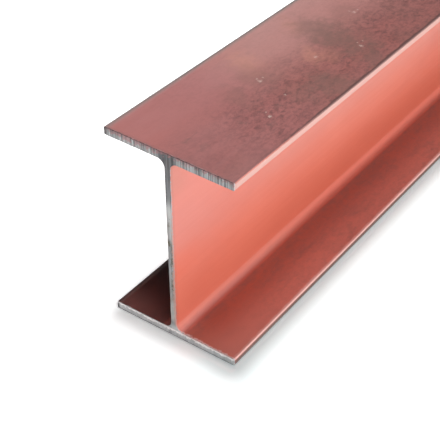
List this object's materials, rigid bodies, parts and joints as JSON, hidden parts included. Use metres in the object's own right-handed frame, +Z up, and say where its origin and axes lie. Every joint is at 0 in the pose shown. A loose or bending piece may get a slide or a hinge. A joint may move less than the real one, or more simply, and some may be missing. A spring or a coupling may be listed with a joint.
{
  "type": "steel i-beam",
  "caption": "Rolled steel I-beam with parallel flanges, red primer on its long faces and bare sawn ends; carries floors, walls and openings.",
  "frame": {"origin": "at mid-length, under the middle of the lower flange, on the plane that the beam stands on", "axes": "+X along the beam's length, +Y across the flanges, +Z up the web"},
  "size_m": [1, 0.1332, 0.2032],
  "materials": {
    "red_primer": "matt red-oxide primer on rolled steel, dusty and scuffed, with bare sawn ends"
  },
  "bodies": {
    "root": {"i_beam": "red_primer"}
  },
  "joints": []
}
